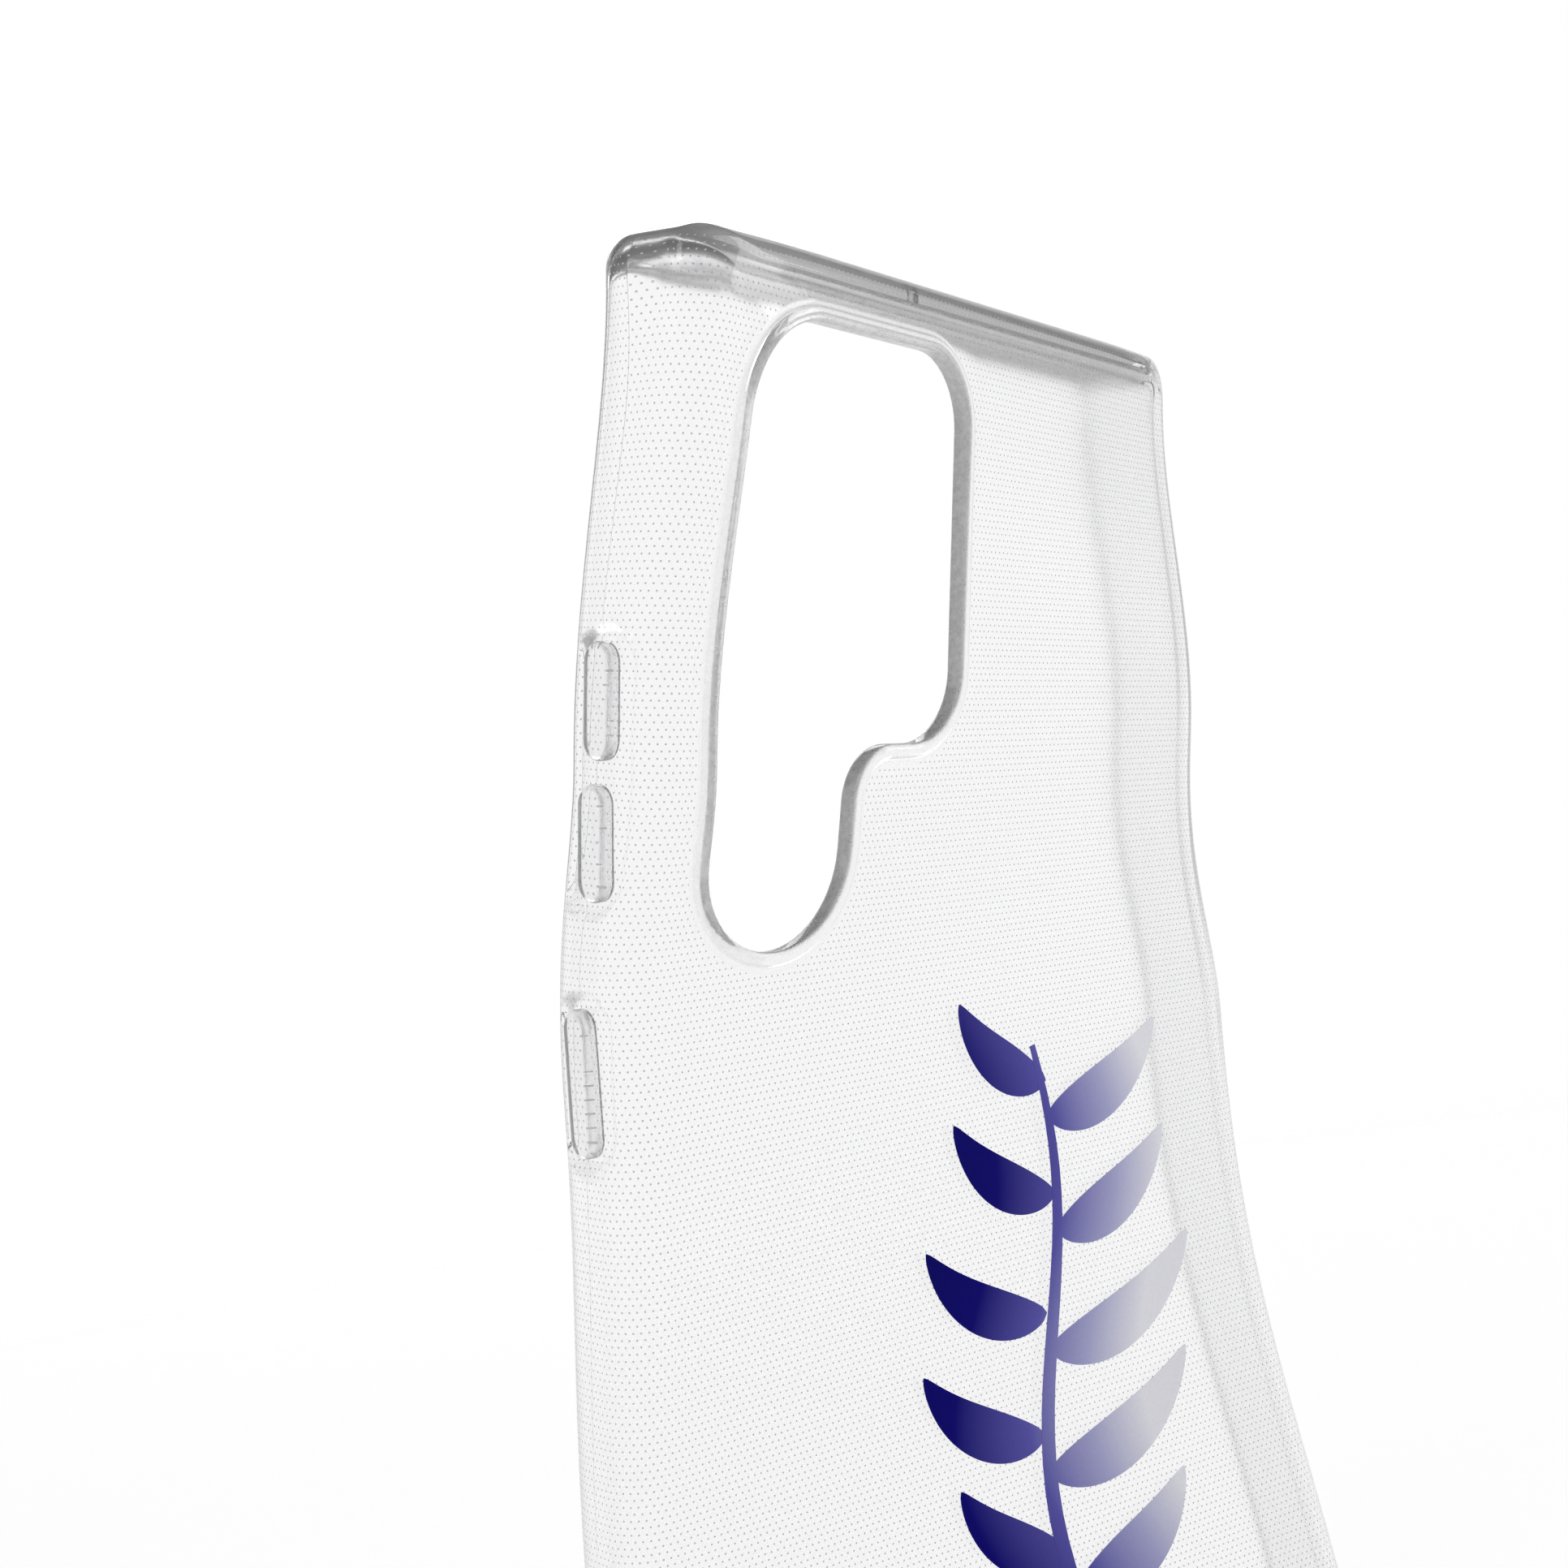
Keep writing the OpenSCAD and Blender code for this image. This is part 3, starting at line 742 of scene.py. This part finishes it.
# ---- Pieces ----
def add_shell():
    """The moulding, one bending piece for each flex zone."""
    verts, faces, uvs, slots = straight_shell()
    shell = new_object("straight_shell", verts, faces, [DOTTED, PLAIN, RIM], uvs, slots)
    cleaned(shell)
    cut_ports(shell)
    bodies = ("lower_shell", "middle_shell", "shoulder_shell", "crown_shell")
    nodes = frame["record"]["behaviour"]["bodies"]
    for i, piece in enumerate(split_shell(shell)):
        set_vertices(piece, flexed(vertices_of(piece), i))
        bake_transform(piece)
        names = [n for n in nodes[bodies[i + 1]] if not n.startswith("ink")]
        if i == 0:
            names += [n for n in nodes[bodies[0]] if not n.startswith("ink")]
        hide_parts(*names)


def add_cover(name, body, zone, place, nodes):
    """Soft button cover with round ends and rounded edges."""
    zc, length = place
    # Section from the face to the foot: inset from the outline, and depth below the face
    levels = [(0.95, 0.0), (0.7, 0.0), (0.48, 0.02), (0.3, 0.08), (0.16, 0.18), (0.06, 0.32), (0.0, 0.5),
              (0.0, 0.8), (0.0, 1.1), (0.02, 1.3), (0.1, 1.42), (0.3, 1.5), (0.7, 1.5), (0.95, 1.5)]
    face_x = -CASE_W / 2 - COVER_OUT
    run = length / 2 - COVER_W / 2
    side = np.linspace(-run, run, 12)[1:-1]
    verts, faces = [], []
    for inset, depth in levels:
        r = COVER_W / 2 - inset
        upper = arc(0, run, r, 0, 180, 16)
        lower = arc(0, -run, r, 180, 360, 16)
        left = np.stack([np.full(len(side), -r), side[::-1]], 1)
        right = np.stack([np.full(len(side), r), side], 1)
        outline = np.vstack([upper, left, lower, right])
        count = len(outline)
        verts += [(face_x + depth, KEY_Y + p[0], zc + p[1]) for p in outline]
    for k in range(len(levels) - 1):
        faces += strips(k * count, (k + 1) * count, count)
    last = (len(levels) - 1) * count
    faces.append(tuple(range(count))[::-1])
    faces.append(tuple(range(last, last + count)))
    ob = new_object(name, verts, faces, [COVER])
    cleaned(ob)
    set_vertices(ob, set_in_flex(vertices_of(ob), zone, zc))
    smooth_by_angle(ob.data, SMALL_CREASE)
    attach(ob, body)
    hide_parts(*nodes)


def bezier(points, n):
    """n + 1 points on the Bezier curve with these control points."""
    t = np.linspace(0, 1, n + 1)[:, None]
    level = [np.array(p, float)[None, :] * np.ones_like(t) for p in points]
    while len(level) > 1:
        level = [a * (1 - t) + b * t for a, b in zip(level, level[1:])]
    return level[0]


def stroke(curve, widths):
    """Flat brush stroke: left and right edges of a curve with a width at each point."""
    along = np.gradient(curve, axis=0)
    along /= np.linalg.norm(along, axis=1)[:, None] + 1e-9
    side = np.stack([-along[:, 1], along[:, 0]], 1)
    half = np.asarray(widths)[:, None] / 2
    return curve + side * half, curve - side * half


def ornament():
    """Strokes of a leaf sprig, the stem first: each is a curve (x, s) and its widths."""
    strokes = []
    n = 36
    t = np.linspace(0, 1, n + 1)
    stem_x, sway, waves, foot, height = 7, 2.6, 9.2, 8, 88
    stem = np.stack([stem_x + sway * np.sin(t * waves), foot + height * t], 1)
    strokes.append((stem, 1.5 * np.sin(np.pi * np.clip(t * 0.9 + 0.06, 0, 1)) ** 0.5 + 0.2))

    def leaf(x, s, dx, ds, curl, width):
        """Adds a leaf from (x, s) to (x + dx, s + ds)."""
        way = np.array([dx, ds], float)
        side = np.array([-ds, dx], float) * curl
        a = np.array([x, s], float)
        curve = bezier([a, a + way * 0.3 + side, a + way * 0.7 + side, a + way], n)
        strokes.append((curve, width * np.sin(np.pi * t ** 0.8) ** 0.75 + 0.12))

    for k in range(8):
        s = 12 + 11 * k
        x = stem_x + sway * math.sin((s - foot) / height * waves)
        leaf(x, s, 19 + 3 * math.sin(k * 1.7), 7.5, -0.16, 5.4)
        leaf(x, s + 3.5, -13 - 2 * math.cos(k * 1.3), 8.5, 0.18, 4.6)
    return strokes


def slab(left, right, inner_y, first):
    """Thin slab of ink between the two edges of a stroke: vertices, and faces that count from vertex first."""
    across = 4
    rows = len(left)
    size = rows * (across + 1)
    verts, faces = [], []
    for y in (inner_y - INK_T, inner_y):
        for i in range(rows):
            for j in range(across + 1):
                p = left[i] * (1 - j / across) + right[i] * (j / across)
                verts.append((p[0], y, p[1]))

    def at(layer, i, j):
        """Number of the vertex in that layer, row and column."""
        return first + layer * size + i * (across + 1) + j

    for i in range(rows - 1):
        for j in range(across):
            faces.append((at(0, i, j), at(0, i, j + 1), at(0, i + 1, j + 1), at(0, i + 1, j)))
            faces.append((at(1, i, j), at(1, i + 1, j), at(1, i + 1, j + 1), at(1, i, j + 1)))
        for j in (0, across):
            faces.append((at(0, i, j), at(0, i + 1, j), at(1, i + 1, j), at(1, i, j)))
    for i in (0, rows - 1):
        for j in range(across):
            faces.append((at(0, i, j), at(1, i, j), at(1, i, j + 1), at(0, i, j + 1)))
    return verts, faces


def add_print():
    """The printed ornament, a thin skin just outside the back, across the lowest flex zone."""
    verts, faces = [], []
    for number, (curve, widths) in enumerate(ornament()):
        # The stem lies a little higher, so that it covers the feet of the leaves
        more_verts, more_faces = slab(*stroke(curve, widths), LEAF_Y if number else STEM_Y, len(verts))
        verts += more_verts
        faces += more_faces
    ob = new_object("printed_leaf_sprig", verts, faces, [INK], [(x, s) for x, _, s in verts])
    cleaned(ob)
    smooth_by_angle(ob.data, SMALL_CREASE)
    set_vertices(ob, flexed(vertices_of(ob), 0))
    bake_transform(ob)
    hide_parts("ink_print_lower", "ink_print_middle")


add_shell()
add_cover("soft_power_cover", "power_button", 1, POWER, ["power_cover", "power_press_pad"])
add_cover("soft_volume_up_cover", "volume_up_button", 2, VOLUME_UP, ["volume_up_cover", "volume_up_press_pad"])
add_cover("soft_volume_down_cover", "volume_down_button", 1, VOLUME_DOWN,
          ["volume_down_cover", "volume_down_press_pad"])
add_print()


# ---- Studio ----
FLOOR_DROP, FLOOR_R = -0.0001, 1.4
FLOOR_GLOW = 0.55
# The sky's white ends at this height and is dark this much higher up
SKY_WHITE, SKY_DARK = 1.0, 0.08
SKY_EDGE, SKY_FADE = 0.2, 0.16
# Where the white reaches higher: azimuth, cosines where that starts and is complete, and how much higher
SKY_LIFTS = ((27, 0.35, 0.85, 0.5), (270, 0.5, 0.9, 0.18))
# Dark flags round the studio: azimuth of the middle, half width (degrees) and how much they dim the wall
FLAGS = ((86, 20, 0.32), (202, 36, 0.75), (315, 15, 0.4))
LIGHT_TARGET = (0, 0, 0.09)
# The photograph's viewpoint: lens and sensor, place from the straight case's origin, and the way the camera looks
LENS, SENSOR_W = 43.07, 36
CAMERA_PLACE = (-102.8, -150.6, 99.8)
CAMERA_RIGHT, CAMERA_FORWARD = (0.8605, -0.4873, -0.1489), (0.5058, 0.8522, 0.1340)
LIGHT_BOUNCES = 20


def floor_material():
    """Pale floor with a slight glow, which fades out into the white of the studio."""
    mat, nodes, links = node_material("pale_floor")
    out = nodes.new("ShaderNodeOutputMaterial")
    shader = nodes.new("ShaderNodeBsdfPrincipled")
    shader.inputs["Base Color"].default_value = (0.9, 0.9, 0.9, 1)
    shader.inputs["Roughness"].default_value = 0.8
    shader.inputs["Specular IOR Level"].default_value = 0.1
    shader.inputs["Emission Color"].default_value = (1, 1, 1, 1)
    shader.inputs["Emission Strength"].default_value = FLOOR_GLOW
    length = nodes.new("ShaderNodeVectorMath")
    length.operation = "LENGTH"
    links.new(nodes.new("ShaderNodeTexCoord").outputs["Object"], length.inputs[0])
    fade = map_range(nodes, links, length.outputs["Value"], 0.35, 1.3)
    clear = one_colour(nodes, "Transparent", (1, 1, 1))
    links.new(mix_shaders(nodes, links, fade, shader.outputs[0], clear), out.inputs["Surface"])
    return mat


def add_floor():
    """A wide round floor."""
    steps = 96
    angles = [2 * math.pi * i / steps for i in range(steps)]
    rim = [(FLOOR_R * math.cos(a), FLOOR_R * math.sin(a), FLOOR_DROP) for a in angles]
    mesh = bpy.data.meshes.new("pale_floor")
    mesh.from_pydata(rim, [], [tuple(range(steps))])
    mesh.materials.append(floor_material())
    floor = bpy.data.objects.new("pale_floor", mesh)
    bpy.context.scene.collection.objects.link(floor)


def add_light(name, place, size, power):
    """A soft rectangular lamp that shines on the middle of the case."""
    data = bpy.data.lights.new(name, "AREA")
    data.shape = "RECTANGLE"
    data.size, data.size_y = size
    data.energy = power
    light = bpy.data.objects.new(name, data)
    bpy.context.scene.collection.objects.link(light)
    light.location = place
    light.rotation_euler = (Vector(LIGHT_TARGET) - Vector(place)).to_track_quat("-Z", "Y").to_euler()


def studio_sky():
    """White walls with dark flags and a dark ceiling. The white reaches higher behind the case, as seen from its
    back and from its side."""
    world = bpy.data.worlds.new("studio")
    bpy.context.scene.world = world
    world.use_nodes = True
    nodes, links = world.node_tree.nodes, world.node_tree.links
    nodes.clear()
    out = nodes.new("ShaderNodeOutputWorld")
    sky = nodes.new("ShaderNodeBackground")
    coords = nodes.new("ShaderNodeTexCoord")
    split = nodes.new("ShaderNodeSeparateXYZ")
    links.new(coords.outputs["Generated"], split.inputs[0])
    x, y, z = split.outputs
    flat = maths(nodes, links, "MULTIPLY_ADD", x, x, maths(nodes, links, "MULTIPLY", y, y))
    flat = maths(nodes, links, "MAXIMUM", maths(nodes, links, "SQRT", flat), 0.001)

    def towards(azimuth, start, end, most):
        """Rises from 0 to most as the cosine of the angle to the azimuth goes from start to end."""
        a = math.radians(azimuth)
        side = maths(nodes, links, "MULTIPLY", y, math.cos(a))
        side = maths(nodes, links, "MULTIPLY_ADD", x, math.sin(a), side)
        return map_range(nodes, links, maths(nodes, links, "DIVIDE", side, flat), start, end, 0.0, most)

    height = maths(nodes, links, "SUBTRACT", z, SKY_EDGE)
    for lift in SKY_LIFTS:
        height = maths(nodes, links, "SUBTRACT", height, towards(*lift))
    light = map_range(nodes, links, height, 0.0, SKY_FADE, SKY_WHITE, SKY_DARK)
    # The flags don't reach below the horizon
    above = map_range(nodes, links, z, -0.06, 0.04)
    for azimuth, half, dim in FLAGS:
        share = towards(azimuth, math.cos(math.radians(half)), math.cos(math.radians(half * 0.6)), dim)
        shade = maths(nodes, links, "MULTIPLY", share, above)
        light = maths(nodes, links, "MULTIPLY", light, maths(nodes, links, "SUBTRACT", 1.0, shade))
    links.new(light, sky.inputs["Color"])
    sky.inputs["Strength"].default_value = 1.0
    links.new(sky.outputs[0], out.inputs["Surface"])


def add_camera():
    """The photograph's viewpoint: left of the back, a little above half height, looking slightly up, rolled."""
    data = bpy.data.cameras.new("camera")
    data.lens = LENS
    data.sensor_width = SENSOR_W
    data.clip_start, data.clip_end = 0.005, 20
    camera = bpy.data.objects.new("camera", data)
    bpy.context.scene.collection.objects.link(camera)
    right = Vector(CAMERA_RIGHT)
    forward = Vector(CAMERA_FORWARD).normalized()
    right = (right - forward * right.dot(forward)).normalized()
    up = right.cross(forward)
    place = (Vector(CAMERA_PLACE) + Vector(ORIGIN)) * MM
    axes = Matrix((right, up, -forward)).transposed().to_4x4()
    camera.matrix_world = Matrix.Translation(place) @ axes
    bpy.context.scene.camera = camera


add_floor()
add_light("key_left", (-0.95, -0.75, 0.75), (0.35, 0.9), 3)
add_light("fill_right", (1.1, -0.5, 0.6), (0.3, 0.9), 2)
add_light("back_glow", (0.5, 1.3, 1.3), (1.0, 0.5), 4)
studio_sky()
add_camera()
scene = bpy.context.scene
scene.view_settings.view_transform = "Standard"
scene.cycles.max_bounces = LIGHT_BOUNCES
scene.cycles.transmission_bounces = LIGHT_BOUNCES
scene.cycles.transparent_max_bounces = LIGHT_BOUNCES
